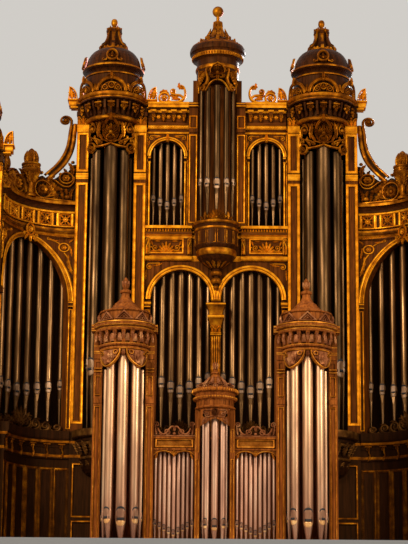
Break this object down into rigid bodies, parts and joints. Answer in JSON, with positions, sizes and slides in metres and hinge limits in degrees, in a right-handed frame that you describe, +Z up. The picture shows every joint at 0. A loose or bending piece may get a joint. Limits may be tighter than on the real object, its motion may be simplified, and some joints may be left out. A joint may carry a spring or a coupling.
{
  "type": "pipe organ",
  "caption": "Pipe organ in a carved and gilded wooden case with round towers, concave wings and arcades of metal pipes, with a smaller matching case standing in front.",
  "frame": {"origin": "on the floor that the organ stands on, under the middle of the main case's front plane", "axes": "+X to the right seen from the front, +Y into the case, +Z up"},
  "size_m": [11.55, 7.2, 12.264],
  "materials": {
    "base_wood": "dark waxed oak with gilt mouldings",
    "case_wood": "brown waxed oak with gilt mouldings",
    "gilt_carving": "carved wood, gilded",
    "crown_wood": "dark waxed oak",
    "board_wood": "plain dark oak boards",
    "pipe_tin": "dull tin, brighter at the mouths",
    "front_wood": "red brown waxed oak",
    "front_tin": "bright polished tin"
  },
  "bodies": {
    "root": {"centre_base": "base_wood", "wing_bases": "base_wood", "outer_tower_bases": "base_wood", "tower_corbels": "case_wood", "tower_pilasters": "case_wood", "tower_cornices": "case_wood", "tower_galleries": "gilt_carving", "tower_crowns": "crown_wood", "tower_pipes": "pipe_tin", "tower_shades": "gilt_carving", "lower_arcade": "case_wood", "middle_rail": "case_wood", "upper_arcade": "case_wood", "top_cornice": "case_wood", "top_scrolls": "gilt_carving", "turret_corbel": "case_wood", "turret_posts": "case_wood", "turret_cornice": "case_wood", "turret_crown": "gilt_carving", "turret_pipes": "pipe_tin", "turret_shade": "gilt_carving", "lower_flat_pipes": "pipe_tin", "upper_flat_pipes": "pipe_tin", "wing_arches": "case_wood", "wing_friezes": "case_wood", "wing_crests": "gilt_carving", "wing_urns": "gilt_carving", "wing_pipes": "pipe_tin", "foot_carvings": "gilt_carving", "case_back": "board_wood", "case_sides": "board_wood", "case_roofs": "board_wood", "front_plinth": "front_wood", "front_pilasters": "front_wood", "front_tower_cornices": "front_wood", "front_tower_roofs": "front_wood", "front_tower_pipes": "front_tin", "front_tower_shades": "front_wood", "front_turret_posts": "front_wood", "front_turret_head": "front_wood", "front_turret_roof": "front_wood", "front_turret_pipes": "front_tin", "front_flat_heads": "front_wood", "front_flat_pipes": "front_tin", "front_crests": "front_wood", "front_case_boards": "front_wood"}
  },
  "joints": []
}
